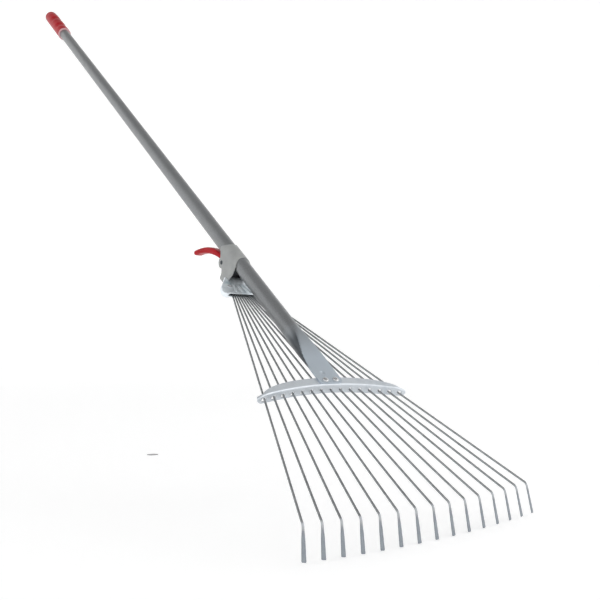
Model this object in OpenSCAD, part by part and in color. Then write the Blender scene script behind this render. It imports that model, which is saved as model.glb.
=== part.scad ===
// Leaf rake with an adjustable fan of wire tines.
// Millimetres. The rake stands in its working pose: the pole leans up along +X, the tips point
// down, and the origin is on the pole's axis at the end of the grip's straight wall.
// Most modules are drawn in the pole's own frame, which in_row() then puts in place:
// x runs up the pole from the comb's middle slot, y is across, z points away from the tines.

/* [Pole] */
// Outside diameter of the pole
pole_d = 22; // [20:0.5:22]
// Wall thickness of the pole
pole_wall = 0.9; // [0.8:0.1:1.5]
// Distance from the comb's middle slot to the end of the grip's straight wall
reach = 1426; // [1106:10:1506]
// Angle of the pole above level in the working pose
lean = 37.4; // [25:0.1:50]
// Where the round pole starts to flare
flare_top = 103; // [98:1:110]
// Where the flare has become the flat tongue
flare_foot = 33; // [28:1:40]
// Width of the flat tongue
tongue_w = 33; // [28:0.5:34]
// Thickness of the flat tongue
tongue_t = 2.4; // [2:0.1:3]

/* [Grip] */
// Outside diameter of the grip
grip_d = 29; // [26:0.5:31]
// Length of the grip's straight wall
grip_len = 138; // [136:1:150]
// Depth of the finger waves
wave_depth = 1.2; // [0.6:0.1:1.5]
// Distance between finger waves
wave_pitch = 50; // [46:1:51]

/* [Comb] */
// Distance between tines at the comb
slot_pitch = 13.75; // [13:0.25:13.75]
// Half the comb's width, out to its rounded tips
comb_half = 106; // [105:1:112]
// Depth of the comb's flat top at the middle
comb_depth = 12; // [11.5:0.5:15]
// Slanted height of the comb's front flange
flange_h = 10.6; // [10.4:0.1:12]
// Angle that the flange is folded down
flange_fold = 73; // [68:1:78]
// Thickness of the comb's sheet
comb_t = 1.2; // [1:0.1:1.5]

/* [Tines] */
// Number of tines
tine_count = 15; // [15]
// Diameter of the tine wire
wire_d = 2.4; // [2.2:0.1:2.5]
// Distance between tines inside the hub
hook_pitch = 3; // [3:0.1:3.2]
// How far the tines reach past the comb before they bend
bend_reach = 183; // [150:1:200]
// Angle of the bent tips
tip_angle = 48; // [35:1:60]
// Length of the bent tips, measured from the corner of the bend
tip_len = 31; // [24:1:36]
// Width of the flattened tips at their ends
tip_w = 4.5; // [3:0.1:5]

/* [Carriage] */
// Distance from the comb's middle slot to the hooks, with the fan spread
hub_x = 228; // [224:1:230]
// Travel of the carriage up the pole, which folds the fan
travel = 100; // [60:5:100]
// Sheet thickness of the carriage
clamp_t = 1.2; // [1:0.1:1.5]
// Width of the hub's mouth
hub_mouth = 72; // [68:1:74]

/* [Lever] */
// Diameter of the lever's pin
pin_d = 4.4; // [4:0.1:4.6]
// Width of the lever's arm
lever_w = 14; // [10:0.5:18]

/* [Hidden] */
$fn = 48;

paint = [0.50, 0.52, 0.54];
clamp_paint = [0.60, 0.62, 0.62];
zinc = [0.80, 0.84, 0.88];
wire_grey = [0.48, 0.49, 0.50];
red = [0.74, 0.10, 0.14];
black = [0.06, 0.06, 0.08];
steel = [0.66, 0.67, 0.68];

pole_r = pole_d / 2;
wire_r = wire_d / 2;
pin_r = pin_d / 2;
gap = 0.3;          // free gap between parts that slide past each other
big = 400;          // longer than any cut needs

tongue_power = 0.35;

// comb: its ridge and its row of slots follow the same shallow curve
comb_bow = 0.0013;
ridge_x = 6;
ridge_r = 2.5;
slot_z = -7;
slot_x0 = ridge_x + slot_z / tan(flange_fold);
comb_rivet_x = 11.2;
comb_rivet_y = 7.3;
comb_rivet_r = 2.2;
comb_head_r = 3.8;

// hub and fan: the fan frame has its origin in the middle of the hooks and its -x along the fan
hub_z = -25;
fan_tilt = atan((slot_z - hub_z) / (hub_x - slot_x0));
hook_step = 3.5;    // every other hook sits this far behind the first row
hook_r = 1.5;
hook_leg = 5;
hook_hole_r = wire_r + 0.15;
tip_bend_r = 6;
tip_bow = 0.0003;
tip_t = 1.3;
tip_turn = 0.6;     // share of a tine's yaw that its tip turns back
plate_t = 1.2;
under_t = 1.5;
top_z = wire_r + 0.4;
under_z = -(wire_r + 0.5);
mouth_x = -8;
mouth_corner = 6;
widest_x = mouth_x + mouth_corner;
shoulder_x = 41;
shoulder_half = 14;
neck_x = 52;
neck_half = pole_r + 1;
cheek_slot_x = 29.5;
hub_rivet_r = 1.8;
hub_head_r = 3.2;
hub_rivets_at = [[46, 6], [46, -6], [13, 19], [13, -19]];

// carriage
clamp_in = pole_r + gap;
clamp_out = clamp_in + clamp_t;
clamp_back = 306;
lever_x = 291;
lever_z = -15.3;
ear_r = 8.5;
pad_front = 269;
pad_back = 281;
pad_top = -4;

function tine_name(i) = str("tine_", i < 10 ? "0" : "", i);
function ease(t) = let (c = min(1, max(0, t))) c * c * (3 - 2 * c);
function mix(a, b, t) = a + (b - a) * t;

// Puts what is drawn in the pole's frame into the working pose
module in_row() rotate([0, -lean, 0]) translate([-reach, 0, 0]) children();

// Puts what is drawn in the fan's frame into the pole's frame
module in_fan() translate([hub_x, 0, hub_z]) rotate([0, fan_tilt, 0]) children();

// Turns a shape that stands on z into one that lies along x
module along_x(x) translate([x, 0, 0]) rotate([0, 90, 0]) children();

// Extrudes a side outline, drawn as x and z, to both sides of y = 0
module across(width) rotate([90, 0, 0]) linear_extrude(width, center = true) children();

// Skins a row of closed rings that all have the same number of points
module skin(rings) {
    n = len(rings[0]);
    last = len(rings) - 1;
    points = [for (ring = rings) for (p = ring) p];
    sides = [for (j = [0 : last - 1]) for (k = [0 : n - 1])
        let (a = j * n + k, b = j * n + (k + 1) % n)
        each [[a, b, b + n], [a, b + n, a + n]]];
    caps = [[for (k = [n - 1 : -1 : 0]) k], [for (k = [0 : n - 1]) last * n + k]];
    polyhedron(points, concat(sides, caps));
}

// ---- handle ----

// Ring across the pole at x: a circle where power is 1, and squarer as it falls
function pole_ring(x, half, height, middle, power) =
    [for (k = [0 : 35]) let (c = cos(k * 10), d = sin(k * 10))
        [x, half * sign(c) * pow(abs(c), power), middle + height * sign(d) * pow(abs(d), power)]];

// Ring of the flare at t, from just inside the round pole (0) to the flat tongue (1)
function flare_ring(t) = let (s = ease(t), inside = pole_r - 0.1)
    pole_ring(mix(flare_top + 0.5, flare_foot, t), mix(inside, tongue_w / 2, s),
        mix(inside, tongue_t / 2, s), mix(0, tongue_t / 2, s), mix(1, tongue_power, s));

// Ring of the tongue, drawn in by corner towards its rounded end
function tongue_ring(x, corner) =
    pole_ring(x, tongue_w / 2 - corner, tongue_t / 2, tongue_t / 2, tongue_power);

module pole_tube() color(paint) in_row() difference() {
    front = ridge_x + 1;
    union() {
        difference() {
            along_x(flare_top) cylinder(h = reach + 4 - flare_top, r = pole_r);
            along_x(flare_top + 1) cylinder(h = big * 4, r = pole_r - pole_wall);
        }
        skin(concat([for (j = [0 : 14]) flare_ring(j / 14)],
            [for (a = [0 : 30 : 90]) tongue_ring(front + 5 * (1 - sin(a)), 5 * (1 - cos(a)))]));
    }
    for (side = [-1, 1])
        translate([comb_rivet_x, side * comb_rivet_y, -1]) cylinder(h = 9, r = comb_rivet_r);
}

module pole_grip() color(red) in_row() {
    dome = 6;
    wave_r = 65;
    first_wave = 5;
    top = grip_d / 2;
    rim = 1.2;
    difference() {
        along_x(reach - grip_len) rotate_extrude() polygon(concat(
            [[pole_r, 0], [top - rim, 0], [top, rim], [top, grip_len]],
            [for (a = [10 : 10 : 80]) [top * cos(a), grip_len + dome * sin(a)]],
            [[0, grip_len + dome], [0, grip_len + 4], [pole_r, grip_len + 4]]));
        for (k = [0 : 2])
            translate([reach - first_wave - k * wave_pitch, 0, top - wave_depth + wave_r])
                rotate([90, 0, 0]) cylinder(h = grip_d + 2, r = wave_r, center = true);
    }
}

// Section of the comb at y: flat top, folded ridge and slanted flange, in one thickness
function comb_ring(y) =
    let (u = abs(y) / comb_half,
         depth = max(2.6, comb_depth * sqrt(max(0, 1 - pow(abs(y) / (comb_half - 7), 4)))),
         drop = flange_h * (1 - 0.12 * pow(u, 6) - 0.6 * pow(u, 30)),
         x = ridge_x - comb_bow * y * y,
         z = -3 * pow(max(0, (u - 0.86) / 0.14), 2),
         run = ridge_r * tan(flange_fold / 2),
         down = [-cos(flange_fold), -sin(flange_fold)],
         inward = [sin(flange_fold), -cos(flange_fold)] * comb_t,
         foot = [x, 0] + down * drop,
         outer = [for (a = [0 : 4]) [x + run, -ridge_r]
             + ridge_r * [cos(90 + flange_fold * a / 4), sin(90 + flange_fold * a / 4)]],
         inner = [for (a = [4 : -1 : 0]) [x + run, -ridge_r]
             + (ridge_r - comb_t) * [cos(90 + flange_fold * a / 4), sin(90 + flange_fold * a / 4)]],
         outline = concat([[x + depth, 0]], outer, [foot, foot + inward], inner,
             [[x + depth, -comb_t]]))
    [for (p = outline) [p[0], y, p[1] + z]];

module spreader_comb() color(zinc) in_row() difference() {
    skin([for (j = [0 : 40]) comb_ring(comb_half * sin(-90 + j * 4.5))]);
    for (i = [1 : tine_count]) in_fan() slot_cut(i);
    for (side = [-1, 1])
        translate([comb_rivet_x, side * comb_rivet_y, -5]) cylinder(h = 9, r = comb_rivet_r);
}

module dome_rivet(shank_r, head_r, low, high) {
    head_h = head_r * 0.55;
    ball_r = (head_r * head_r + head_h * head_h) / (2 * head_h);
    translate([0, 0, low - 1.4]) cylinder(h = high - low + 1.4, r = shank_r);
    translate([0, 0, low - 1.4]) cylinder(h = 1.4, r = head_r * 0.85);
    intersection() {
        translate([0, 0, high + head_h - ball_r]) sphere(ball_r);
        translate([0, 0, high]) cylinder(h = head_h + 1, r = head_r);
    }
}

module comb_rivets() color(steel) in_row()
    for (side = [-1, 1]) translate([comb_rivet_x, side * comb_rivet_y, 0])
        dome_rivet(comb_rivet_r, comb_head_r, -comb_t, tongue_t);

// ---- fan ----

// Each tine has a number from the middle of the fan outwards, which is negative on the right
function place(i) = i - (tine_count + 1) / 2;
function slot_y(i) = place(i) * slot_pitch;
function row_y(i) = place(i) * hook_pitch;
function slot_x(i) = slot_x0 - comb_bow * slot_y(i) * slot_y(i);
function slot_run(i) = (hub_x - slot_x(i)) / cos(fan_tilt);
function yaw(i) = atan((slot_y(i) - row_y(i)) / slot_run(i));
function hook_back(i) = (i % 2 == 0 ? hook_step : 0) / cos(yaw(i));
function bend_y(i) = row_y(i) + tan(yaw(i)) * (hub_x + bend_reach);
function wire_run(i) = hook_back(i)
    + (hub_x + bend_reach - tip_bow * bend_y(i) * bend_y(i)) / cos(fan_tilt) / cos(yaw(i));

// Puts what is drawn along a tine, from its hook, into the fan's frame
module on_tine(i)
    translate([0, row_y(i), 0]) rotate([0, 0, -yaw(i)]) translate([hook_back(i), 0, 0]) children();

// How far the middle of a tine strays outwards in its slot, part way through the travel
function stray(i) = 2.2 * abs(place(i)) / 7;

module slot_cut(i) {
    side = sign(place(i));
    inner = wire_r + 0.45;
    outer = wire_r + 0.45 + stray(i);
    low = wire_r + 0.6;
    high = wire_r + 1.1;
    length = 34;
    on_tine(i) translate([-slot_run(i) / cos(yaw(i)) - hook_back(i) - length / 2,
                          side < 0 ? -outer : -inner, -low])
        cube([length, inner + outer, low + high]);
}

// Ring across the wire at [x, z], tilted by angle, with half width w and half thickness h
function wire_ring(at, angle, w, h) = [for (k = [0 : 11]) let (c = cos(k * 30), d = sin(k * 30))
    [at[0] - h * d * sin(angle), w * c, at[1] + h * d * cos(angle)]];

// Rings round a bend of the wire about [x, z], turning the wire from one angle to another
function bend_rings(centre, radius, from, to, steps) = [for (k = [0 : steps])
    let (a = mix(from, to, k / steps))
    wire_ring(centre + radius * [-sin(a), cos(a)], a, wire_r, wire_r)];

// Rings past start moved sideways by slant, so that a tip turns back towards the pole's direction
function sheared(rings, start, slant) =
    [for (ring = rings) [for (p = ring) [p[0], p[1] - slant * max(0, start - p[0]), p[2]]]];

// One wire: hook leg down through the hub, straight run, bend, and a tip pressed flat and wider
module tine(i) color(wire_grey) in_row() in_fan() on_tine(i) {
    corner = tip_bend_r * tan(tip_angle / 2);
    straight = wire_run(i) - corner;
    blade = tip_len - corner;
    elbow = [-straight, -tip_bend_r];
    bend_end = elbow + tip_bend_r * [-sin(tip_angle), cos(tip_angle)];
    along = [-cos(tip_angle), -sin(tip_angle)];
    translate([0, 0, -hook_leg]) cylinder(h = hook_leg - hook_r + 0.1, r = wire_r);
    skin(sheared(concat(
        bend_rings([-hook_r, -hook_r], hook_r, -90, 0, 4),
        bend_rings(elbow, tip_bend_r, 0, tip_angle, 5),
        [wire_ring(bend_end + 3 * along, tip_angle, wire_r, wire_r),
         wire_ring(bend_end + 8 * along, tip_angle, 1.25 * wire_r, tip_t / 2),
         wire_ring(bend_end + (blade - 0.8) * along, tip_angle, tip_w / 2, tip_t / 2),
         wire_ring(bend_end + blade * along, tip_angle, tip_w / 2 - 0.7, tip_t / 3)]),
        -straight, tan(tip_turn * yaw(i))));
}

// ---- carriage ----

// Half width of the hub's bell at x, and the points of its side from the shoulder to the mouth
function bell_half(x) = mix(shoulder_half, hub_mouth / 2,
    pow(sin(90 * (shoulder_x - x) / (shoulder_x - widest_x)), 1.3));
function bell_side(edge) = [for (k = [0 : 9])
    let (x = mix(shoulder_x, widest_x, k / 9)) [x, bell_half(x) + edge]];
function mouth_arc() = [for (a = [105 : 15 : 180])
    [widest_x, hub_mouth / 2 - mouth_corner] + mouth_corner * [cos(a), sin(a)]];
function reversed(list) = [for (k = [len(list) - 1 : -1 : 0]) list[k]];
function mirrored(list) = [for (p = reversed(list)) [p[0], -p[1]]];

// Plan of the top plate: neck between the cheeks, shoulders, and bell with a rounded mouth
module bell() {
    side = concat([[neck_x, neck_half], [shoulder_x + 0.5, neck_half]], bell_side(0), mouth_arc());
    polygon(concat(side, mirrored(side)));
}

// Plan of the hollow under the top plate, open at the mouth and past the neck
module bell_hollow() {
    side = concat([[neck_x + 1, neck_half + 1], [shoulder_x + 1, neck_half + 1]],
        bell_side(-plate_t), [[mouth_x + 2.5, hub_mouth / 2 - 4], [mouth_x - 1, hub_mouth / 2 - 5]]);
    polygon(concat(side, mirrored(side)));
}

// Plan of the bottom plate, which fills the hollow and stops behind the mouth's corners
module bell_floor() {
    side = concat([[neck_x, neck_half], [shoulder_x + 0.5, neck_half]], bell_side(-plate_t),
        [[mouth_x + 2.5, hub_mouth / 2 - 4.1], [mouth_x + 1.2, hub_mouth / 2 - 4.6]]);
    polygon(concat(side, mirrored(side)));
}

// Slots that let the carriage's cheeks pass down through the back of a hub plate
module cheek_slots() for (side = [-1, 1]) translate([cheek_slot_x, side * (clamp_in + 0.4) - 1, -10])
    cube([neck_x - cheek_slot_x + 1, 2, 20]);

module hub_rivet_holes(low, high)
    for (at = hub_rivets_at) translate([at[0], at[1], low]) cylinder(h = high - low, r = hub_rivet_r);

module hub_top_plate() color(zinc) in_row() in_fan() difference() {
    flutes = 5;
    flute_centre = 55;
    flute_step = 8;
    lip = 3;
    sunk = 0.4;
    face = top_z + plate_t - sunk;
    half = hub_mouth / 2 - mouth_corner;
    union() {
        translate([0, 0, under_z - under_t]) linear_extrude(top_z + plate_t - under_z + under_t) bell();
        translate([mouth_x + 0.2, -half, face]) cube([lip, 2 * half, 1.2 + sunk]);
        for (k = [1 : flutes]) translate([flute_centre, 0, 0])
            rotate([0, 0, (k - (flutes + 1) / 2) * flute_step])
                translate([-flute_centre - 3, -0.8, face]) cube([24, 1.6, 0.8 + sunk]);
    }
    translate([0, 0, under_z - under_t - 1]) linear_extrude(top_z - under_z + under_t + 1) bell_hollow();
    cheek_slots();
    hub_rivet_holes(top_z - 1, face + 3);
}

module hub_bottom_plate() color(zinc) in_row() in_fan() difference() {
    translate([0, 0, under_z - under_t]) linear_extrude(under_t) bell_floor();
    for (i = [1 : tine_count]) on_tine(i)
        translate([0, 0, under_z - under_t - 1]) cylinder(h = under_t + 2, r = hook_hole_r);
    cheek_slots();
    hub_rivet_holes(under_z - under_t - 1, under_z + 1);
}

module hub_rivets() color(steel) in_row() in_fan()
    for (at = hub_rivets_at) translate([at[0], at[1], 0])
        dome_rivet(hub_rivet_r, hub_head_r, under_z - under_t - (at[0] > shoulder_x ? clamp_t : 0),
            top_z + plate_t);

// Side outline of the carriage: sloped mouth, cheek down to the hub, ear around the lever's pin
module clamp_side() {
    polygon([[264, clamp_out + 1], [254, 0.5], [255, -14], [262, -30], [269, -35], [281.5, -36],
             [282, -27], [286, -22], [298.5, -11], [clamp_back, 0], [clamp_back, 3],
             [295, clamp_out + 1]]);
    translate([lever_x, lever_z]) circle(ear_r);
}

// Cross-section of the folded sheet: half round over the pole, then straight down
module saddle_section() {
    difference() {
        circle(clamp_out);
        circle(clamp_in);
        translate([-big, -big]) square([2 * big, big]);
    }
    for (side = [-1, 1])
        translate([side * (clamp_in + clamp_t / 2), -20]) square([clamp_t, 40.02], center = true);
}

module carriage_clamp() color(clamp_paint) in_row() difference() {
    flange_z = under_z - under_t - clamp_t;
    seam = 3;
    union() {
        intersection() {
            translate([240, 0, 0]) rotate([90, 0, 90]) linear_extrude(80) saddle_section();
            across(4 * clamp_out) clamp_side();
        }
        in_fan() for (side = [-1, 1])
            translate([40, side > 0 ? seam / 2 : -clamp_in - 0.1, flange_z])
                cube([12, clamp_in + 0.1 - seam / 2, clamp_t]);
    }
    translate([lever_x, 0, lever_z]) rotate([90, 0, 0]) cylinder(h = 60, r = pin_r, center = true);
    in_fan() hub_rivet_holes(flange_z - 1, flange_z + clamp_t + 0.5);
}

module slide_pad() color(black) in_row() difference() {
    translate([pad_front, -clamp_in, -30]) cube([pad_back - pad_front, 2 * clamp_in, 30 + pad_top]);
    along_x(pad_front - 1) cylinder(h = 60, r = pole_r + gap);
    in_fan() translate([20, -30, -20]) cube([60, 60, 20 + top_z + plate_t]);
    in_fan() for (at = hub_rivets_at) translate([at[0], at[1], top_z + plate_t - 1])
        cylinder(h = 4, r = hub_head_r + gap);
}

module lever_pin() color(steel) in_row() translate([lever_x, 0, lever_z]) rotate([90, 0, 0]) {
    cylinder(h = 2 * clamp_out + 2, r = pin_r, center = true);
    for (side = [-1, 1]) translate([0, 0, side * (clamp_out + 0.5)])
        cylinder(h = 1, r = pin_r + 0.8, center = true);
}

// ---- lever ----

// The arm follows one smooth curve from the pin, under the pole, to its tip
lever_path = [[lever_x, lever_z], [340, -14], [379.5, -52.5]];
function lever_at(t) = (1 - t) * (1 - t) * lever_path[0] + 2 * t * (1 - t) * lever_path[1]
    + t * t * lever_path[2];
function lever_slope(t) = let (d = (1 - t) * (lever_path[1] - lever_path[0])
    + t * (lever_path[2] - lever_path[1])) atan2(d[1], d[0]);
function lever_half(t) = 3.8 + ease((t - 0.15) / 0.35) - ease((t - 0.6) / 0.4);

module lever_side() {
    steps = 24;
    edge = [for (k = [0 : steps]) let (t = k / steps, a = lever_slope(t)) lever_at(t)
        + lever_half(t) * [-sin(a), cos(a)]];
    back = [for (k = [steps : -1 : 0]) let (t = k / steps, a = lever_slope(t)) lever_at(t)
        - lever_half(t) * [-sin(a), cos(a)]];
    polygon(concat(edge, back));
    translate(lever_at(0)) circle(lever_half(0));
    translate(lever_at(1)) circle(lever_half(1));
}

module cam_lever() color(red) in_row() difference() {
    union() {
        across(lever_w) lever_side();
        translate([lever_x, 0, lever_z]) rotate([90, 0, 0])
            cylinder(h = 2 * (clamp_in - 0.4), r = lever_half(0), center = true);
    }
    translate([lever_x, 0, lever_z]) rotate([90, 0, 0])
        cylinder(h = 60, r = pin_r + 0.05, center = true);
}

pole_tube();
pole_grip();
spreader_comb();
comb_rivets();
carriage_clamp();
slide_pad();
cam_lever();
lever_pin();
hub_top_plate();
hub_bottom_plate();
hub_rivets();
for (i = [1 : tine_count]) tine(i);
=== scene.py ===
"""Looks of the adjustable leaf rake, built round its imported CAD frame.

Lengths are in millimetres, and row() turns them into metres of the frame that all the pieces share.
"""
import math

import bmesh
import bpy
from mathutils import Matrix, Vector


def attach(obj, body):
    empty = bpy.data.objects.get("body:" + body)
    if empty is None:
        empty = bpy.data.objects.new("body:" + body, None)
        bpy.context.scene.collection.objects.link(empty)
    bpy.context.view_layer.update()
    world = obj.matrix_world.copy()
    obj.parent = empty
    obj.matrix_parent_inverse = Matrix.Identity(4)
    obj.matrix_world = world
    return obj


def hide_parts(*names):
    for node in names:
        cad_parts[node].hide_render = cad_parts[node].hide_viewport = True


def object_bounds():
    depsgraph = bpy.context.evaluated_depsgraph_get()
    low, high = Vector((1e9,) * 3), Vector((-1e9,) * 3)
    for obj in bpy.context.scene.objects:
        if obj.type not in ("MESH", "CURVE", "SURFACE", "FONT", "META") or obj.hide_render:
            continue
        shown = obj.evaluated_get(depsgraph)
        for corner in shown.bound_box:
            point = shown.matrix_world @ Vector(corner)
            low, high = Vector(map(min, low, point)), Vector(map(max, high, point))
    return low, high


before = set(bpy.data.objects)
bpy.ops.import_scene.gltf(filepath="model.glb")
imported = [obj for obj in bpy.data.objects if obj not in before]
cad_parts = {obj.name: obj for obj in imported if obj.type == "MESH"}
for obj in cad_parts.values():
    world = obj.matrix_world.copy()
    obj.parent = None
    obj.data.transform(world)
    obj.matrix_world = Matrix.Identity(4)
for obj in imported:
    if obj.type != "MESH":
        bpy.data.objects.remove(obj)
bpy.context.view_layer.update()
scene = bpy.context.scene

# ---- the CAD's own sizes ----
# The pole's frame has x up the pole from the comb, y across it and z away from the tines.
REACH = 1426.0
LEAN = math.radians(37.4)
POLE_R = 11.0
TONGUE_W = 33.0
TONGUE_T = 2.4
TONGUE_CORNER = 5
FLARE_FOOT = 33.0
FLARE_TOP = 103.0

GRIP_R = 14.5
GRIP_LEN = 138.0
GRIP_EDGE = 1.2
GRIP_DOME = 6.0
WAVES = 3
WAVE_DEPTH = 1.2
WAVE_PITCH = 50.0
WAVE_FIRST = 5.0
WAVE_R = 65.0

COMB_HALF = 106.0
COMB_DEPTH = 12.0
COMB_T = 1.2
COMB_BOW = 0.0013
FLANGE_H = 10.6
FOLD = math.radians(73)
RIDGE_X = 6.0
RIDGE_R = 2.5
COMB_RIVET_X = 11.2
COMB_RIVET_Y = 7.3

SLOT_PITCH = 13.75
SLOT_Z = -7.0
SLOT_SIDE = 0.45
SLOT_OVER = 1.1
SLOT_UNDER = 0.6
SLOT_STRAY = 2.2
SLOT_CORNER = 0.9

COUNT = 15
WIRE_R = 1.2
HOOK_PITCH = 3.0
HOOK_STEP = 3.5
HOOK_R = 1.5
HOOK_LEG = 5.0
BEND_REACH = 183.0
TIP_ANGLE = math.radians(48)
TIP_BEND_R = 6.0
TIP_LEN = 31.0
TIP_W = 4.5
TIP_T = 1.3
TIP_EDGE = 0.9
TIP_BOW = 0.0003
TIP_TURN = 0.6

HUB_X = 228.0
HUB_Z = -25.0
HUB_MOUTH = 72.0
TOP_Z = 1.6
PLATE_T = 1.2
UNDER_Z = -1.7
UNDER_T = 1.5
MOUTH_X = -8.0
MOUTH_CORNER = 6.0
SHOULDER_X = 41.0
SHOULDER_HALF = 14.0
NECK_X = 52.0
NECK_HALF = 10.8
FLUTE_APEX = 55
FLUTE_STEP = 8
FLUTE_H = 0.85
LIP_R = 1.6
LIP_H = 1.15
HUB_RIVETS = ((46, 6), (46, -6), (13, 19), (13, -19))

CLAMP_IN = 11.3
CLAMP_T = 1.2
CLAMP_OUT = CLAMP_IN + CLAMP_T
LEVER_X = 291.0
LEVER_Z = -15.3
LEVER_W = 14.0
LEVER_BOSS = 10.88
PIN_R = 2.2
PIN_HEAD_R = 3.0
PIN_HEAD = 0.98
EAR_R = 8.5

SLOT_X0 = RIDGE_X + SLOT_Z / math.tan(FOLD)
FAN_TILT = math.atan((SLOT_Z - HUB_Z) / (HUB_X - SLOT_X0))
WIDEST_X = MOUTH_X + MOUTH_CORNER

UP = (0, 0, 1)
ALONG = (1, 0, 0)
ACROSS = (0, 1, 0)


def row(p):
    """From the pole's own frame, in mm, to the row frame, in metres."""
    x, y, z = p[0] - REACH, p[1], p[2]
    c, s = math.cos(LEAN), math.sin(LEAN)
    return Vector((x * c - z * s, y, x * s + z * c)) * 0.001


def turned(v):
    """A direction in the pole's frame, as the row frame has it."""
    return (row(v) - row((0, 0, 0))).normalized()


def fan(p):
    """From the fan's frame to the pole's frame."""
    c, s = math.cos(FAN_TILT), math.sin(FAN_TILT)
    return (HUB_X + p[0] * c + p[2] * s, p[1], HUB_Z - p[0] * s + p[2] * c)


def row_fan(p):
    """From the fan's frame, in mm, to the row frame, in metres."""
    return row(fan(p))


def ease(t):
    """A smooth step from 0 to 1 while t goes from 0 to 1."""
    t = min(1.0, max(0.0, t))
    return t * t * (3 - 2 * t)


def mix(a, b, t):
    """From a at t of 0 to b at t of 1."""
    return a + (b - a) * t


# ---- mesh making ----
def skin(rings, caps=True, wrap=True):
    """Vertices and faces of the surface through rings that all have the same number of points."""
    n = len(rings[0])
    verts = [p for ring in rings for p in ring]
    faces = []
    for j in range(len(rings) - 1):
        for k in range(n if wrap else n - 1):
            a, b = j * n + k, j * n + (k + 1) % n
            faces.append((a, b, b + n, a + n))
    if caps:
        last = (len(rings) - 1) * n
        faces += [tuple(range(n - 1, -1, -1)), tuple(range(last, last + n))]
    return verts, faces


def together(*parts):
    """Several shapes as one."""
    verts, faces = [], []
    for v, f in parts:
        start = len(verts)
        verts += v
        faces += [tuple(i + start for i in face) for face in f]
    return verts, faces


def lathe(profile, centre, axis, side, sides=48):
    """Turns a profile of (radius, height) about axis through centre."""
    a, u = Vector(axis).normalized(), Vector(side).normalized()
    w = a.cross(u)
    c = Vector(centre)
    rings = []
    for r, h in profile:
        r = max(r, 0.01)
        rings.append([tuple(c + a * h + u * (r * math.cos(2 * math.pi * k / sides))
                            + w * (r * math.sin(2 * math.pi * k / sides))) for k in range(sides)])
    return skin(rings)


def shade(mesh, angle=32):
    """Smooth shading, with edges over angle degrees left sharp."""
    for p in mesh.polygons:
        p.use_smooth = True
    mesh.set_sharp_from_angle(angle=math.radians(angle))


def make(name, shape, place=row, angle=32):
    """An object from vertices and faces, each vertex put in the row frame by place."""
    mesh = bpy.data.meshes.new(name)
    mesh.from_pydata([place(v) for v in shape[0]], [], shape[1])
    b = bmesh.new()
    b.from_mesh(mesh)
    bmesh.ops.recalc_face_normals(b, faces=b.faces)
    b.to_mesh(mesh)
    b.free()
    shade(mesh, angle)
    obj = bpy.data.objects.new(name, mesh)
    scene.collection.objects.link(obj)
    return obj


def bake(obj):
    """Applies an object's modifiers."""
    graph = bpy.context.evaluated_depsgraph_get()
    mesh = bpy.data.meshes.new_from_object(obj.evaluated_get(graph))
    obj.modifiers.clear()
    obj.data = mesh


def combine(obj, other, how):
    """Joins, cuts or intersects obj with other, which is used up."""
    m = obj.modifiers.new("combine", "BOOLEAN")
    m.object, m.operation, m.solver = other, how, "EXACT"
    bake(obj)
    bpy.data.objects.remove(other)
    return obj


def soft_edges(obj, width, segments=3, angle=35):
    """Rounds the edges over angle degrees by width in mm."""
    m = obj.modifiers.new("edges", "BEVEL")
    m.width = width * 0.001
    m.segments = segments
    m.limit_method = "ANGLE"
    m.angle_limit = math.radians(angle)
    m.use_clamp_overlap = True
    m.harden_normals = True
    return obj


def soften(node, name, width, angle=35):
    """A copy of a CAD node's mesh, merged and cleaned, with rounded edges."""
    b = bmesh.new()
    b.from_mesh(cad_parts[node].data)
    bmesh.ops.remove_doubles(b, verts=b.verts, dist=1e-6)
    bmesh.ops.dissolve_limit(b, angle_limit=math.radians(1), verts=b.verts, edges=b.edges)
    mesh = bpy.data.meshes.new(name)
    b.to_mesh(mesh)
    b.free()
    if "custom_normal" in mesh.attributes:
        mesh.attributes.remove(mesh.attributes["custom_normal"])
    shade(mesh, angle)
    obj = bpy.data.objects.new(name, mesh)
    scene.collection.objects.link(obj)
    return soft_edges(obj, width, angle=angle)


def settle(obj, body, slot, look, *nodes):
    """Gives a piece its look and its body, and hides the CAD nodes that it stands for. The slot is not used."""
    obj.data.materials.clear()
    obj.data.materials.append(look)
    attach(obj, body)
    if nodes:
        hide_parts(*nodes)
    return obj


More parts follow.
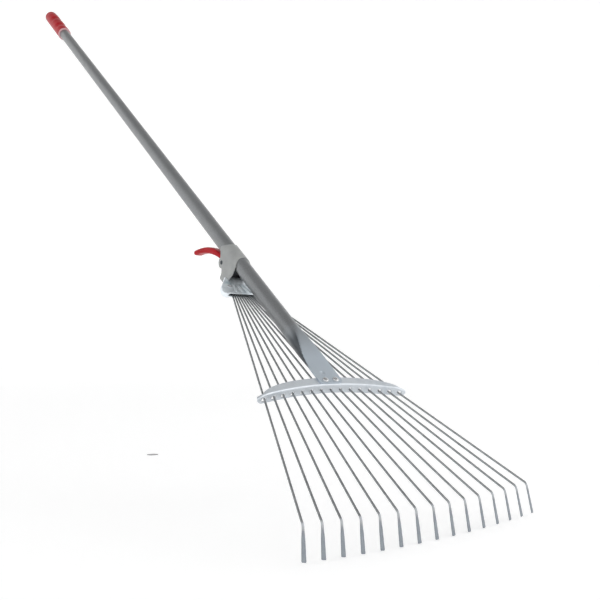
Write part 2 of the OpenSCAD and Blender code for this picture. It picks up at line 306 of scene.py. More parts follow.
# ---- materials ----
class Look:
    """A Principled material whose patterns are fixed to the piece."""

    def __init__(self, name, colour, metallic, roughness, **more):
        self.mat = bpy.data.materials.new(name)
        self.mat.use_nodes = True
        self.tree = self.mat.node_tree
        self.shader = self.tree.nodes["Principled BSDF"]
        self.shader.inputs["Base Color"].default_value = (*colour, 1)
        self.shader.inputs["Metallic"].default_value = metallic
        self.shader.inputs["Roughness"].default_value = roughness
        for key, value in more.items():
            self.shader.inputs[key.replace("_", " ")].default_value = value
        self.coords = self.node("ShaderNodeTexCoord").outputs["Object"]
        self.last_normal = None

    def node(self, kind, **values):
        n = self.tree.nodes.new(kind)
        for key, value in values.items():
            setattr(n, key, value)
        return n

    def link(self, a, b):
        self.tree.links.new(a, b)

    def along_pole(self, stretch):
        """Coordinates with x up the pole, squeezed by stretch so that patterns run along it."""
        m = self.node("ShaderNodeMapping", vector_type="TEXTURE")
        m.inputs["Rotation"].default_value = (0, -LEAN, 0)
        m.inputs["Scale"].default_value = (stretch, 1, 1)
        self.link(self.coords, m.inputs["Vector"])
        return m.outputs["Vector"]

    def noise(self, scale, detail=3, rough=0.5, coords=None):
        n = self.node("ShaderNodeTexNoise")
        n.inputs["Scale"].default_value = scale
        n.inputs["Detail"].default_value = detail
        n.inputs["Roughness"].default_value = rough
        self.link(coords or self.coords, n.inputs["Vector"])
        return n.outputs["Fac"]

    def spread(self, value, low, high, out_low, out_high):
        """Turns the range low to high of value into out_low to out_high, and stops at its ends."""
        n = self.node("ShaderNodeMapRange")
        for key, v in (("From Min", low), ("From Max", high), ("To Min", out_low), ("To Max", out_high)):
            n.inputs[key].default_value = v
        self.link(value, n.inputs["Value"])
        return n.outputs["Result"]

    def blend(self, amount, a, b):
        """Colour a where amount is 0 and colour b where it is 1."""
        n = self.node("ShaderNodeMix", data_type="RGBA", blend_type="MIX")
        for socket, v in ((n.inputs[6], a), (n.inputs[7], b)):
            if isinstance(v, (tuple, list)):
                socket.default_value = (*v, 1)
            else:
                self.link(v, socket)
        self.link(amount, n.inputs[0])
        return n.outputs[2]

    def bump(self, height, depth):
        """Adds relief to the bumps so far, depth mm deep where height goes from 0 to 1."""
        n = self.node("ShaderNodeBump")
        n.inputs["Strength"].default_value = 1.0
        n.inputs["Distance"].default_value = depth * 0.001
        self.link(height, n.inputs["Height"])
        if self.last_normal:
            self.link(self.last_normal, n.inputs["Normal"])
        self.last_normal = n.outputs["Normal"]
        self.link(self.last_normal, self.shader.inputs["Normal"])

    def near(self, point, radius):
        """1 at a point of the row frame, falling to 0 at radius, in mm."""
        n = self.node("ShaderNodeVectorMath", operation="DISTANCE")
        self.link(self.coords, n.inputs[0])
        n.inputs[1].default_value = point
        return self.spread(n.outputs["Value"], 0, radius * 0.001, 1, 0)

    def up_pole(self, start, end):
        """0 at start and 1 at end, both distances up the pole in the pole's frame, in mm."""
        n = self.node("ShaderNodeVectorMath", operation="DOT_PRODUCT")
        self.link(self.coords, n.inputs[0])
        n.inputs[1].default_value = (math.cos(LEAN), 0, math.sin(LEAN))
        return self.spread(n.outputs["Value"], (start - REACH) * 0.001, (end - REACH) * 0.001, 0, 1)

    def attribute(self, name):
        return self.node("ShaderNodeAttribute", attribute_name=name).outputs["Fac"]

    def to(self, socket, output):
        self.link(output, self.shader.inputs[socket])


def pole_look():
    k = Look("pole_paint", (0.2, 0.21, 0.215), 0.6, 0.4, Coat_Weight=0.15, Coat_Roughness=0.25)
    flake = k.noise(900, 2, 0.6)
    cloud = k.noise(14, 3, 0.5, k.along_pole(6))
    base = k.blend(k.spread(flake, 0.35, 0.65, 0, 1), (0.165, 0.172, 0.178), (0.25, 0.258, 0.265))
    base = k.blend(k.spread(cloud, 0.35, 0.65, 0, 0.35), base, (0.30, 0.31, 0.32))
    # Painted light: the paint turns paler from 112 mm down to 50 mm up the pole, over the flattened end, for
    # its flat top catching light.
    base = k.blend(k.up_pole(112, 50), base, (0.48, 0.54, 0.60))
    # Painted shade: the flare's steep sides, where the wall mask is 1, are darkened nearly to black.
    base = k.blend(k.attribute("wall"), base, (0.07, 0.08, 0.09))
    dimple = k.near(row((24.0, 4.0, TONGUE_T)), 3.4)
    k.to("Base Color", base)
    k.to("Roughness", k.spread(cloud, 0.3, 0.7, 0.30, 0.44))
    k.bump(k.noise(420, 2, 0.5), 0.05)
    k.bump(k.noise(26, 2, 0.5, k.along_pole(4)), 0.10)
    k.bump(k.spread(dimple, 0, 0.8, 1, 0), 1.0)
    return k.mat


def clamp_look():
    k = Look("clamp_paint", (0.35, 0.36, 0.36), 0.0, 0.5, Specular_IOR_Level=0.3)
    cloud = k.noise(60, 3, 0.55)
    k.to("Base Color", k.blend(k.spread(cloud, 0.3, 0.7, 0, 1), (0.30, 0.31, 0.31), (0.37, 0.38, 0.375)))
    k.to("Roughness", k.spread(cloud, 0.3, 0.7, 0.42, 0.55))
    k.bump(k.noise(1100, 2, 0.5), 0.015)
    return k.mat


def zinc_look(name="zinc_sheet", light=(0.90, 0.96, 1.00), dark=(0.42, 0.56, 0.63), rough=0.4):
    k = Look(name, light, 0.6, rough)
    cloud = k.noise(45, 4, 0.55)
    grain = k.noise(700, 3, 0.6)
    base = k.blend(k.spread(cloud, 0.52, 0.72, 0, 0.8), light, dark)
    base = k.blend(k.spread(grain, 0.3, 0.7, 0, 0.12), base, (0.95, 0.97, 1.0))
    k.to("Base Color", base)
    k.to("Roughness", k.spread(k.noise(120, 3, 0.6), 0.3, 0.7, rough - 0.06, rough + 0.1))
    k.bump(k.noise(55, 2, 0.4), 0.16)
    k.bump(grain, 0.008)
    return k.mat


def wire_look():
    k = Look("tine_wire", (0.17, 0.175, 0.18), 0.9, 0.34)
    streak = k.noise(260, 3, 0.6)
    base = k.blend(k.spread(streak, 0.3, 0.7, 0, 1), (0.23, 0.24, 0.245), (0.37, 0.38, 0.39))
    tip = k.attribute("tip")
    base = k.blend(tip, base, k.blend(streak, (0.22, 0.245, 0.275), (0.34, 0.37, 0.40)))
    # Painted highlight: the wire is blended pale where the bend attribute is 1, at the bend into the tip.
    base = k.blend(k.attribute("bend"), base, (0.46, 0.48, 0.5))
    k.to("Base Color", base)
    k.to("Roughness", k.spread(streak, 0.3, 0.7, 0.28, 0.42))
    k.bump(k.noise(1500, 2, 0.5), 0.012)
    return k.mat


def steel_look(name="rivet_steel", colour=(0.62, 0.63, 0.64), rough=0.22):
    k = Look(name, colour, 1.0, rough)
    grain = k.noise(800, 3, 0.6)
    dull = tuple(c * 0.82 for c in colour)
    k.to("Base Color", k.blend(k.spread(grain, 0.3, 0.7, 0, 1), dull, colour))
    k.to("Roughness", k.spread(grain, 0.3, 0.7, rough - 0.05, rough + 0.12))
    k.bump(grain, 0.01)
    return k.mat


def red_look(name="red_plastic", rim_highlight=False):
    k = Look(name, (0.46, 0.008, 0.018), 0.0, 0.36, Specular_IOR_Level=0.08)
    cloud = k.noise(30, 3, 0.5)
    base = k.blend(k.spread(cloud, 0.3, 0.7, 0, 1), (0.36, 0.002, 0.007), (0.45, 0.004, 0.012))
    if rim_highlight:
        # Painted highlight: the grip's lower end, up to 2.2 mm from its rim, is blended pale pink.
        base = k.blend(k.up_pole(REACH - GRIP_LEN + 2.2, REACH - GRIP_LEN + 0.8), base, (0.62, 0.36, 0.38))
    k.to("Base Color", base)
    k.to("Roughness", k.spread(k.noise(500, 3, 0.6), 0.3, 0.7, 0.26, 0.38))
    k.bump(k.noise(900, 2, 0.5), 0.012)
    return k.mat


def black_look():
    k = Look("black_plastic", (0.012, 0.012, 0.015), 0.0, 0.55)
    k.to("Base Color", k.blend(k.noise(200, 3, 0.5), (0.008, 0.008, 0.01), (0.02, 0.02, 0.024)))
    k.bump(k.noise(900, 2, 0.5), 0.02)
    return k.mat


PAINT = pole_look()
CLAMP = clamp_look()
ZINC = zinc_look()
WIRE = wire_look()
STEEL = steel_look()
# Painted highlight: a bright steel for the saddle's front edge, where the sheet's edge catches the light.
EDGE_HIGHLIGHT = steel_look("front_edge_highlight", (0.8, 0.81, 0.82), 0.3)
RED = red_look()
# True paints the pale pink highlight on the grip's lower rim.
GRIP_RED = red_look("grip_red", True)
BLACK = black_look()
COMB_ZINC = zinc_look("comb_zinc", (0.60, 0.64, 0.68), (0.46, 0.51, 0.56), 0.38)
# Painted shade: near-black steel for the lever pin, standing in for the shade inside a hollow pin's bore.
PIN_SHADE = steel_look("pin_painted_shade", (0.10, 0.11, 0.12), 0.5)


# ---- handle ----
def flat_ring(x, half, height, middle, round_z, sides=72):
    """A round section, half wide and round_z deep, pressed flat to height above and below middle."""
    ring = []
    for k in range(sides):
        a = 2 * math.pi * k / sides
        z = round_z * math.sin(a)
        z = math.copysign(min(abs(z), height), z)
        ring.append((x, half * math.cos(a), middle + z))
    return ring


def flare_walls(rings):
    """For each point, 1 on the flare's steep sides and 0 on its flat top and on the rest of the pole: the mask
    of the painted shade on the flare's sides.
    """
    walls = []
    for ring in rings:
        x = ring[0][0]
        along = ease((FLARE_TOP + 4 - x) / 25) * ease((x - FLARE_FOOT + 2) / 12)
        top = max(p[2] for p in ring)
        middle = (top + min(p[2] for p in ring)) / 2
        for p in ring:
            up = (p[2] - middle) / (top - middle)
            walls.append(along * ease((0.93 - up) / 0.1))
    return walls


def pole():
    half = TONGUE_W / 2
    thin = TONGUE_T / 2
    front = RIDGE_X + 1
    rings = []
    for k in range(13):
        a = math.radians(90 * k / 12)
        x = front + TONGUE_CORNER * (1 - math.cos(a))
        corner = TONGUE_CORNER * (1 - math.sin(a))
        rings.append(flat_ring(x, half - corner, thin - 0.25 * (k == 0), thin, POLE_R))
    for x in (FLARE_FOOT - 14, FLARE_FOOT - 6):
        rings.append(flat_ring(x, half, thin, thin, POLE_R))
    steps = 36
    for j in range(steps + 1):
        t = 1 - j / steps
        s = ease(t)
        x = mix(FLARE_TOP + 0.5, FLARE_FOOT, t)
        rings.append(flat_ring(x, mix(POLE_R, half, s), mix(POLE_R, thin, s), mix(0, thin, s), POLE_R))
    for x in (130, 300, 600, 900, 1200, REACH + 3.8):
        rings.append(flat_ring(x, POLE_R, POLE_R, 0, POLE_R))
    obj = make("pole_tube_fine", skin(rings), angle=28)
    # The wall attribute carries the mask of the painted shade on the flare's sides.
    layer = obj.data.attributes.new("wall", "FLOAT", "POINT")
    layer.data.foreach_set("value", flare_walls(rings))
    return settle(obj, "handle", "pole_paint", PAINT, "pole_tube")


def wave_cut(x):
    """Depth of the finger waves at x, along the middle of the grip's upper side."""
    cut = 0.0
    for k in range(WAVES):
        d = x - (REACH - WAVE_FIRST - k * WAVE_PITCH)
        cut = max(cut, WAVE_DEPTH - (WAVE_R - math.sqrt(WAVE_R ** 2 - min(d * d, WAVE_R ** 2))))
    return cut


def grip():
    start = REACH - GRIP_LEN
    core = GRIP_R - GRIP_EDGE
    length = GRIP_LEN - 2 * GRIP_EDGE
    along, edge, dome, sides = 150, 8, 14, 64
    stations = [(start, POLE_R + 0.05), (start, core)]
    stations += [(start + 0.35, GRIP_R - 0.5), (start + GRIP_EDGE, GRIP_R)]
    stations += [(start + GRIP_EDGE + length * k / along, GRIP_R) for k in range(1, along + 1)]
    for k in range(1, edge):
        a = math.radians(90 * k / edge)
        stations.append((REACH - GRIP_EDGE + GRIP_EDGE * math.sin(a), core + GRIP_EDGE * math.cos(a)))
    for k in range(dome + 1):
        r = core * math.cos(math.radians(89 * k / dome))
        stations.append((REACH + (GRIP_DOME - 0.1) * math.sqrt(max(0, 1 - (r / core) ** 2)), r))
    rings = []
    for x, r in stations:
        cut = wave_cut(x)
        ring = []
        for k in range(sides):
            a = 2 * math.pi * k / sides
            depth = cut * max(0.0, math.sin(a)) ** 0.7 * (r / GRIP_R) ** 3
            ring.append((x, (r - depth) * math.cos(a), (r - depth) * math.sin(a)))
        rings.append(ring)
    obj = make("pole_grip_fine", skin(rings), angle=50)
    return settle(obj, "handle", "red_plastic", GRIP_RED, "pole_grip")


def comb_section(y, steps=7):
    """The comb's folded section at y: its top, the ridge and the flange, which taper towards the ends."""
    u = abs(y) / COMB_HALF
    depth = max(2.6, COMB_DEPTH * math.sqrt(max(0, 1 - (abs(y) / (COMB_HALF - 7)) ** 4)))
    drop = FLANGE_H * (1 - 0.12 * u ** 6 - 0.6 * u ** 30)
    x0 = RIDGE_X - COMB_BOW * y * y
    z0 = -3 * max(0, (u - 0.86) / 0.14) ** 2
    run = RIDGE_R * math.tan(FOLD / 2)
    c, s = math.cos(FOLD), math.sin(FOLD)
    foot = (x0 - c * drop, -s * drop)
    under_foot = (foot[0] + s * COMB_T, foot[1] - c * COMB_T)
    arc = [math.pi / 2 + FOLD * k / steps for k in range(steps + 1)]
    outer = [(x0 + run + RIDGE_R * math.cos(a), -RIDGE_R + RIDGE_R * math.sin(a)) for a in arc]
    r = RIDGE_R - COMB_T
    inner = [(x0 + run + r * math.cos(a), -RIDGE_R + r * math.sin(a)) for a in reversed(arc)]
    outline = [(x0 + depth, 0)] + outer + [foot, under_foot] + inner + [(x0 + depth, -COMB_T)]
    return [(p[0], y, p[1] + z0) for p in outline]


def place_of(i):
    """A tine's place in the fan, counted from the middle one."""
    return i - (COUNT + 1) / 2


def slot_y(i):
    """Where a tine's slot is, across the comb."""
    return place_of(i) * SLOT_PITCH


def row_y(i):
    """Where a tine's hook is, across the hub."""
    return place_of(i) * HOOK_PITCH


def slot_run(i):
    """From the row of hooks to a tine's slot, along the fan's middle."""
    return (HUB_X - (SLOT_X0 - COMB_BOW * slot_y(i) ** 2)) / math.cos(FAN_TILT)


def yaw(i):
    """How far a tine turns out of the fan's middle."""
    return math.atan((slot_y(i) - row_y(i)) / slot_run(i))


def hook_back(i):
    """How far a tine's hook stands back, since the hooks are in two rows."""
    return (HOOK_STEP if i % 2 == 0 else 0) / math.cos(yaw(i))


def on_tine(i):
    """From a tine's own frame, with the wire along -x from its hook, to the row frame."""
    c, s, back, side = math.cos(yaw(i)), math.sin(yaw(i)), hook_back(i), row_y(i)

    def place(p):
        x = p[0] + back
        return row_fan((x * c + p[1] * s, side - x * s + p[1] * c, p[2]))
    return place


def slot_cutter(i):
    """The prism that cuts a tine's slot, along its wire, with its vertices in the row frame."""
    near = WIRE_R + SLOT_SIDE
    far = near + SLOT_STRAY * abs(place_of(i)) / place_of(COUNT)
    left, right = (-far, near) if place_of(i) < 0 else (-near, far)
    top, foot = WIRE_R + SLOT_OVER, -WIRE_R - SLOT_UNDER
    r = SLOT_CORNER
    ring = []
    corners = ((right - r, top - r, 0), (left + r, top - r, 90),
               (left + r, foot + r, 180), (right - r, foot + r, 270))
    for y, z, start in corners:
        for k in range(5):
            a = math.radians(start + 22.5 * k)
            ring.append((y + r * math.cos(a), z + r * math.sin(a)))
    x0 = -slot_run(i) / math.cos(yaw(i)) - hook_back(i)
    verts, faces = skin([[(x0 + dx, y, z) for y, z in ring] for dx in (-17, 17)])
    place = on_tine(i)
    return [tuple(place(v)) for v in verts], faces


def comb():
    steps = 120
    ys = [COMB_HALF * math.sin(math.radians(-90 + 180 * j / steps)) for j in range(steps + 1)]
    obj = make("spreader_comb_fine", skin([comb_section(y) for y in ys]), angle=28)
    cutters = [slot_cutter(i) for i in range(1, COUNT + 1)]
    combine(obj, make("cutter", together(*cutters), place=Vector), "DIFFERENCE")
    shade(obj.data, 28)
    soft_edges(obj, 0.22, 2, 40)
    return settle(obj, "handle", "zinc_sheet", COMB_ZINC, "spreader_comb")


def comb_rivets():
    r, head = 3.8, 2.0
    crown = [(r * 0.98, -0.1), (r, 0.1), (r, 0.35), (r * 0.97, 0.55)]
    crown += [(r * 0.9, head * 0.62), (r * 0.78, head * 0.78), (r * 0.6, head * 0.9), (r * 0.4, head * 0.97)]
    crown += [(r * 0.2, head), (0, head)]
    tail = [(2.2, 1), (3.1, 0.1), (3.1, -1.0), (2.8, -1.35), (1.6, -1.4), (1.3, -1.0), (0, -0.9)]
    shapes = []
    for y in (-COMB_RIVET_Y, COMB_RIVET_Y):
        shapes.append(lathe(crown, (COMB_RIVET_X, y, TONGUE_T), UP, ALONG))
        shapes.append(lathe(tail, (COMB_RIVET_X, y, -COMB_T), UP, ALONG))
    obj = make("comb_rivets_fine", together(*shapes), angle=40)
    return settle(obj, "handle", "rivet_steel", STEEL, "comb_rivets")


# ---- fan ----
def wire_ring(x, z, angle, w, h, power=1.0, sides=20):
    """A section of the wire, w by h from its middle at x and z, square to a wire that dips by angle."""
    ring = []
    for k in range(sides):
        c, d = math.cos(2 * math.pi * k / sides), math.sin(2 * math.pi * k / sides)
        c, d = math.copysign(abs(c) ** power, c), math.copysign(abs(d) ** power, d)
        ring.append((x - h * d * math.sin(angle), w * c, z + h * d * math.cos(angle)))
    return ring


def tine(i):
    """One wire: its hook, its straight run, its bend and its flattened tip."""
    bend_y = row_y(i) + math.tan(yaw(i)) * (HUB_X + BEND_REACH)
    bend_x = HUB_X + BEND_REACH - TIP_BOW * bend_y ** 2
    run = hook_back(i) + bend_x / math.cos(FAN_TILT) / math.cos(yaw(i))
    corner = TIP_BEND_R * math.tan(TIP_ANGLE / 2)
    straight, blade = run - corner, TIP_LEN - corner
    rings, tips, bend_highlights = [], [], []

    # bend is the mask of the painted highlight at the bend into the tip.
    def add(ring, tip=0.0, bend=0.0):
        rings.append(ring)
        tips.extend([tip] * len(ring))
        bend_highlights.extend([bend] * len(ring))

    def blade_ring(d, w, h, power):
        x = -straight - TIP_BEND_R * math.sin(TIP_ANGLE) - d * math.cos(TIP_ANGLE)
        z = -TIP_BEND_R + TIP_BEND_R * math.cos(TIP_ANGLE) - d * math.sin(TIP_ANGLE)
        return wire_ring(x, z, TIP_ANGLE, w, h, power)

    for z, share in ((-HOOK_LEG, 0.7), (-HOOK_LEG + 0.15, 0.92), (-HOOK_LEG + 0.4, 1), (-HOOK_R - 0.4, 1)):
        add(wire_ring(0, z, -math.pi / 2, WIRE_R * share, WIRE_R * share))
    for k in range(9):
        a = math.radians(-90 + 90 * k / 8)
        add(wire_ring(-HOOK_R - HOOK_R * math.sin(a), -HOOK_R + HOOK_R * math.cos(a), a, WIRE_R, WIRE_R))
    for share in (0.05, 0.2, 0.4, 0.6, 0.8, 0.93, 0.98):
        add(wire_ring(-straight * share, 0, 0, WIRE_R, WIRE_R))
    for k in range(15):
        a = TIP_ANGLE * k / 14
        x, z = -straight - TIP_BEND_R * math.sin(a), -TIP_BEND_R + TIP_BEND_R * math.cos(a)
        add(wire_ring(x, z, a, WIRE_R, WIRE_R), 0.55 * k / 14, ease((k - 2) / 8))
    for k in range(1, 25):
        d = (blade - TIP_EDGE) * k / 24
        flat = ease((d - 2) / 9)
        w = mix(WIRE_R, mix(1.5, TIP_W / 2, d / blade), flat)
        h = mix(WIRE_R, TIP_T / 2, flat)
        add(blade_ring(d, w, h, mix(1, 0.55, flat)), mix(0.55, 1, ease(d / 10)), ease(1 - d / 5))
    for k in range(1, 6):
        a = math.radians(90 * k / 5)
        w = TIP_W / 2 - TIP_EDGE * (1 - math.cos(a))
        h = TIP_T / 2 - 0.35 * (1 - math.cos(a))
        add(blade_ring(blade - TIP_EDGE + TIP_EDGE * math.sin(a), w, h, 0.55), 1)
    slant = math.tan(TIP_TURN * yaw(i))
    rings = [[(p[0], p[1] - slant * max(0, -straight - p[0]), p[2]) for p in ring] for ring in rings]
    obj = make("tine_%02d_fine" % i, skin(rings), place=on_tine(i), angle=45)
    for name, values in (("tip", tips), ("bend", bend_highlights)):
        layer = obj.data.attributes.new(name, "FLOAT", "POINT")
        layer.data.foreach_set("value", values)
    return settle(obj, "tine_%02d" % i, "tine_wire", WIRE, "tine_%02d" % i)


# ---- carriage ----
def bell_half(x):
    """Half of the bell's width at x of the fan's frame."""
    if x <= WIDEST_X:
        return HUB_MOUTH / 2 - MOUTH_CORNER + math.sqrt(max(0, MOUTH_CORNER ** 2 - (WIDEST_X - x) ** 2))
    turn = math.sin(math.pi / 2 * min(1, max(0, (SHOULDER_X - x) / (SHOULDER_X - WIDEST_X))))
    return mix(SHOULDER_HALF, HUB_MOUTH / 2, turn ** 1.3)


def hub_height(x, y):
    """Height of the flutes and the lip over the flat top, at x and y of the fan's frame."""
    z = 0.0
    window = ease((x + 4) / 3) * ease((22 - x) / 5)
    reach = math.hypot(FLUTE_APEX - x, y)
    angle = math.degrees(math.atan2(y, FLUTE_APEX - x))
    for k in range(-2, 3):
        off = reach * math.sin(math.radians(angle - FLUTE_STEP * k))
        z = max(z, FLUTE_H * window * math.exp(-off ** 2))
    near_lip = (x - (MOUTH_X + LIP_R)) / LIP_R
    if abs(near_lip) < 1:
        z = max(z, LIP_H * math.sqrt(1 - near_lip ** 2) * ease((30.5 - abs(y)) / 2.5))
    return z


def hub_top():
    top = TOP_Z + PLATE_T
    foot = UNDER_Z - UNDER_T
    corner = 2.3
    across = 150
    xs = [WIDEST_X - MOUTH_CORNER * math.cos(math.radians(90 * k / 14)) for k in range(15)]
    xs += [mix(WIDEST_X, SHOULDER_X, k / 56) for k in range(1, 57)]
    rings = []
    for x in xs:
        half = bell_half(x)
        flat = half - corner
        side = [(x, -half, foot), (x, -half, mix(foot, top - corner, 0.5)), (x, -half, top - corner)]
        for k in range(1, 7):
            a = math.radians(15 * k)
            side.append((x, -half + corner - corner * math.cos(a), top - corner + corner * math.sin(a)))
        ys = [mix(-flat, flat, k / across) for k in range(1, across)]
        sheet = [(x, y, top + hub_height(x, y)) for y in ys]
        rings.append(side + sheet + [(p[0], -p[1], p[2]) for p in reversed(side)])
    obj = make("hub_top_plate_fine", skin(rings, caps=False, wrap=False), place=row_fan, angle=40)
    face_up(obj)
    m = obj.modifiers.new("sheet", "SOLIDIFY")
    m.thickness = PLATE_T * 0.001
    m.offset = -1
    bake(obj)
    shade(obj.data, 40)
    soft_edges(obj, 0.25, 2, 50)
    return settle(obj, "carriage", "zinc_sheet", ZINC, "hub_top_plate")


def face_up(obj):
    """Turns an open surface over if most of it faces down."""
    b = bmesh.new()
    b.from_mesh(obj.data)
    up = turned(UP)
    if sum(f.normal.dot(up) for f in b.faces) < 0:
        bmesh.ops.reverse_faces(b, faces=b.faces)
    b.to_mesh(obj.data)
    b.free()


def box(x0, x1, y0, y1, z0, z1):
    return skin([[(x, y0, z0), (x, y1, z0), (x, y1, z1), (x, y0, z1)] for x in (x0, x1)])


def hub_neck():
    shape = box(SHOULDER_X - 6, NECK_X, -NECK_HALF, NECK_HALF, TOP_Z, TOP_Z + PLATE_T)
    obj = make("hub_neck", shape, place=row_fan)
    soft_edges(obj, 0.3)
    return settle(obj, "carriage", "zinc_sheet", ZINC)


def hub_rivets():
    crown = [(2.9, -0.05), (3.0, 0.3), (2.8, 0.8), (2.3, 1.05), (1.7, 1.0), (1.35, 0.6), (1.2, -0.4), (0, -0.5)]
    tail = [(1.8, 5.8), (1.8, 0.2), (2.7, 0.05), (2.7, -1.0), (2.3, -1.3), (0, -1.35)]
    shapes = []
    for x, y in HUB_RIVETS:
        under = UNDER_Z - UNDER_T - (CLAMP_T if x > SHOULDER_X else 0)
        shapes.append(lathe(crown, (x, y, TOP_Z + PLATE_T), UP, ALONG))
        shapes.append(lathe(tail, (x, y, under), UP, ALONG))
    obj = make("hub_rivets_fine", together(*shapes), place=row_fan, angle=40)
    return settle(obj, "carriage", "rivet_steel", STEEL, "hub_rivets")


def rounded(points, radii):
    """A closed outline with each corner rounded by its radius."""
    out = []
    n = len(points)
    for k in range(n):
        p, a, b = Vector(points[k]), Vector(points[k - 1]), Vector(points[(k + 1) % n])
        r = radii[k]
        u, v = (a - p).normalized(), (b - p).normalized()
        half = u.angle(v) / 2
        if r <= 0:
            out.append(tuple(p))
            continue
        d = min(r / math.tan(half), (a - p).length * 0.49, (b - p).length * 0.49)
        s, e = p + u * d, p + v * d
        for j in range(7):
            t = j / 6
            out.append(tuple(s * (1 - t) ** 2 + p * 2 * t * (1 - t) + e * t * t))
    return out


def saddle_section(foot=-40, steps=48):
    """The sheet over the pole and down both sides, as y and z."""
    turns = [math.pi * k / steps for k in range(steps + 1)]
    outer = [(CLAMP_OUT * math.cos(a), CLAMP_OUT * math.sin(a)) for a in turns]
    inner = [(CLAMP_IN * math.cos(a), CLAMP_IN * math.sin(a)) for a in (math.pi - t for t in turns)]
    return outer + [(-CLAMP_OUT, foot), (-CLAMP_IN, foot)] + inner + [(CLAMP_IN, foot), (CLAMP_OUT, foot)]


def cheek_outline():
    """The clamp seen from the side, as x and z: the saddle's ends, the cheeks and their notches."""
    over = CLAMP_OUT + 1
    corners = ((264, over, 0), (254, 0.5, 3), (255, -14, 8), (262, -30, 4), (269, -35, 3), (281.5, -36, 2.5),
               (282, -27, 3), (286, -22, 4), (298.5, -11, 5), (306, 0, 2.5), (306, 3, 2.5), (295, over, 0))
    return rounded([(x, z) for x, z, radius in corners], [radius for x, z, radius in corners])


def clamp():
    obj = make("carriage_clamp_fine", skin([[(x, y, z) for y, z in saddle_section()] for x in (240, 320)]))
    prism = make("prism", skin([[(x, y, z) for x, z in cheek_outline()] for y in (-30, 30)]))
    disc = [(0, -29), (EAR_R, -29), (EAR_R, 29), (0, 29)]
    combine(prism, make("ear", lathe(disc, (LEVER_X, 0, LEVER_Z), ACROSS, ALONG, 72)), "UNION")
    combine(obj, prism, "INTERSECT")
    low = UNDER_Z - UNDER_T - CLAMP_T
    high = low + CLAMP_T - 0.02
    out = CLAMP_IN + 0.2
    feet = together(box(40, NECK_X, 1.5, out, low, high), box(40, NECK_X, -out, -1.5, low, high))
    combine(obj, make("feet", feet, place=row_fan), "UNION")
    shade(obj.data, 30)
    obj.data.materials.clear()
    obj.data.materials.append(CLAMP)
    # The second material paints a highlight on the saddle's front edge.
    obj.data.materials.append(EDGE_HIGHLIGHT)
    paint_edge_highlight(obj)
    soft_edges(obj, 0.25, 2, 35)
    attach(obj, "carriage")
    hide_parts("carriage_clamp")
    return obj


def paint_edge_highlight(obj):
    """Gives the second material, a painted highlight, to the small faces at the saddle's front, from just under
    the axis up.
    """
    front = turned((-1, 0, 0))
    up = turned(UP)
    for p in obj.data.polygons:
        height = (p.center - row((0, 0, 0))).dot(up) * 1000
        if p.normal.dot(front) > 0.6 and height > -4 and p.area < 4e-5:
            p.material_index = 1


def pin():
    half = CLAMP_OUT + PIN_HEAD
    inside = [(0, -half), (1.6, -half), (2.6, -half + 0.2), (PIN_HEAD_R, -half + 0.7),
              (PIN_HEAD_R, -CLAMP_OUT - 0.02), (PIN_R, -CLAMP_OUT)]
    profile = inside + [(r, -y) for r, y in reversed(inside)]
    obj = make("lever_pin_fine", lathe(profile, (LEVER_X, 0, LEVER_Z), ACROSS, ALONG), angle=40)
    # The pin's near-black look is painted shade for a hollow pin's bore.
    return settle(obj, "carriage", "rivet_steel", PIN_SHADE, "lever_pin")


# ---- lever ----
def lever():
    """The curved handle, which grows out of a round boss on the pin."""
    path = [Vector(p) for p in ((LEVER_X, LEVER_Z), (340, -14), (379.5, -52.5))]

    def at(t):
        return path[0] * (1 - t) ** 2 + path[1] * 2 * t * (1 - t) + path[2] * t * t

    def slope(t):
        d = (path[1] - path[0]) * (1 - t) + (path[2] - path[1]) * t
        return math.atan2(d.y, d.x)

    def half(t):
        return 3.8 + ease((t - 0.15) / 0.35) - ease((t - 0.6) / 0.4)

    def ring(centre, angle, h, w, sides=40):
        out = []
        for k in range(sides):
            c, d = math.cos(2 * math.pi * k / sides), math.sin(2 * math.pi * k / sides)
            c, d = math.copysign(abs(c) ** 0.45, c), math.copysign(abs(d) ** 0.6, d)
            out.append((centre.x - h * d * math.sin(angle), w * c, centre.y + h * d * math.cos(angle)))
        return out

    def end_ring(t, way, a, edge):
        """A section of the rounded end at t, which closes as a goes from 0 to a right angle."""
        beyond = way * Vector((math.cos(slope(t)), math.sin(slope(t)))) * half(t) * math.sin(a)
        return ring(at(t) + beyond, slope(t), half(t) * math.cos(a), LEVER_W / 2 - edge * (1 - math.cos(a)))

    turns = [math.radians(88 * k / 8) for k in range(1, 9)]
    rings = [end_ring(0, -1, a, 0.6) for a in reversed(turns)]
    rings += [ring(at(k / 40), slope(k / 40), half(k / 40), LEVER_W / 2) for k in range(41)]
    rings += [end_ring(1, 1, a, 1.6) for a in turns]
    face = [(2.3, -LEVER_BOSS), (3.3, -LEVER_BOSS), (3.75, -10.4)]
    boss = lathe(face + [(r, -y) for r, y in reversed(face)], (LEVER_X, 0, LEVER_Z), ACROSS, ALONG)
    obj = make("cam_lever_fine", together(skin(rings), boss), angle=40)
    return settle(obj, "lever", "red_plastic", RED, "cam_lever")


pole()
grip()
comb()
comb_rivets()
for number in range(1, COUNT + 1):
    tine(number)
hub_top()
hub_neck()
hub_rivets()
clamp()
pin()
lever()
settle(soften("slide_pad", "slide_pad_fine", 0.6), "carriage", "black_plastic", BLACK, "slide_pad")
floor_plate = soften("hub_bottom_plate", "hub_bottom_plate_fine", 0.2)
settle(floor_plate, "carriage", "zinc_sheet", ZINC, "hub_bottom_plate")

# ---- studio, in metres ----
low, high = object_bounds()
floor_z = low.z - 0.0004
centre = (low + high) / 2


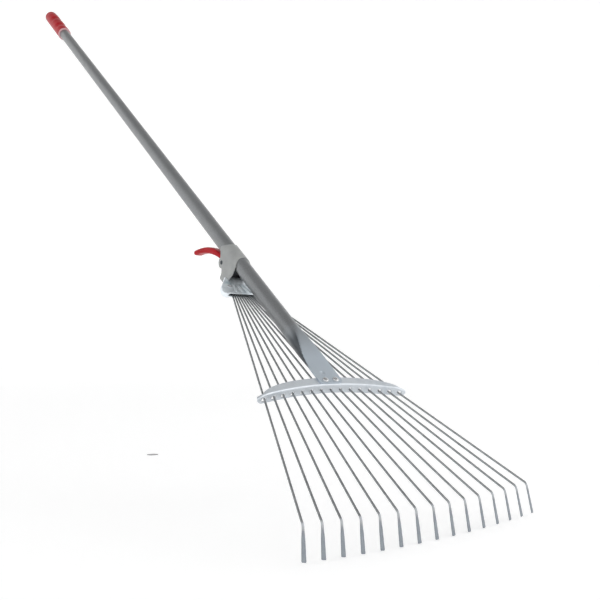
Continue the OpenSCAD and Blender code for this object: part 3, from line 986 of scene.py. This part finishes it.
def studio():
    """A round white floor that curves up into a wall."""
    radius, bend, tall, sides = 4.2, 1.6, 5.0, 96
    inner = radius - bend
    profile = [(0.01, 0), (1.0, 0), (2.0, 0), (inner, 0)]
    for degrees in range(6, 91, 6):
        a = math.radians(degrees)
        profile.append((inner + bend * math.sin(a), bend - bend * math.cos(a)))
    profile.append((radius, tall))
    turns = [2 * math.pi * k / sides for k in range(sides)]
    rings = []
    for r, h in profile:
        rings.append([(centre.x + r * math.cos(a), centre.y + r * math.sin(a), floor_z + h) for a in turns])
    obj = make("studio_sweep", skin(rings, caps=False), place=Vector, angle=60)
    mat = bpy.data.materials.new("studio_white")
    mat.use_nodes = True
    s = mat.node_tree.nodes["Principled BSDF"]
    s.inputs["Base Color"].default_value = (0.86, 0.86, 0.86, 1)
    s.inputs["Roughness"].default_value = 0.9
    s.inputs["Specular IOR Level"].default_value = 0.0
    s.inputs["Emission Color"].default_value = (1, 1, 1, 1)
    s.inputs["Emission Strength"].default_value = 0.32
    obj.data.materials.append(mat)


def softbox(name, at, target, size, power):
    """A soft light that the camera doesn't see, facing target."""
    light = bpy.data.lights.new(name, "AREA")
    light.shape = "RECTANGLE"
    light.size = size[0]
    light.size_y = size[1]
    light.energy = power
    obj = bpy.data.objects.new(name, light)
    scene.collection.objects.link(obj)
    obj.location = at
    obj.rotation_mode = "QUATERNION"
    obj.rotation_quaternion = (Vector(target) - Vector(at)).to_track_quat("-Z", "Y")
    obj.visible_camera = False


studio()
world = bpy.data.worlds.new("studio_world")
scene.world = world
world.use_nodes = True
background = world.node_tree.nodes["Background"]
background.inputs["Color"].default_value = (1, 1, 1, 1)
background.inputs["Strength"].default_value = 0.4
hub_at = row((HUB_X, 0, -10))
softbox("key", hub_at + Vector((-1.4, -1.7, 0.9)), hub_at, (1.4, 1.4), 9)
softbox("fill", hub_at + Vector((-0.6, 2.2, 1.2)), hub_at, (1.6, 1.2), 2)

# ---- camera, placed and turned in the pole's frame ----
CAMERA_AT = (-477.0, 505.9, 425.4)
CAMERA_RIGHT = (-0.46301, -0.81250, 0.35421)
CAMERA_DOWN = (-0.56546, -0.03697, -0.82395)
CAMERA_AHEAD = (0.68255, -0.58178, -0.44232)
camera = bpy.data.objects.new("camera", bpy.data.cameras.new("camera"))
scene.collection.objects.link(camera)
scene.camera = camera
camera.data.sensor_width = 36
camera.data.lens = 42.75
camera.data.clip_start = 0.02
camera.data.clip_end = 50
turn = Matrix((turned(CAMERA_RIGHT), -turned(CAMERA_DOWN), -turned(CAMERA_AHEAD))).transposed().to_4x4()
camera.matrix_world = Matrix.Translation(row(CAMERA_AT)) @ turn
scene.view_settings.view_transform = "Standard"
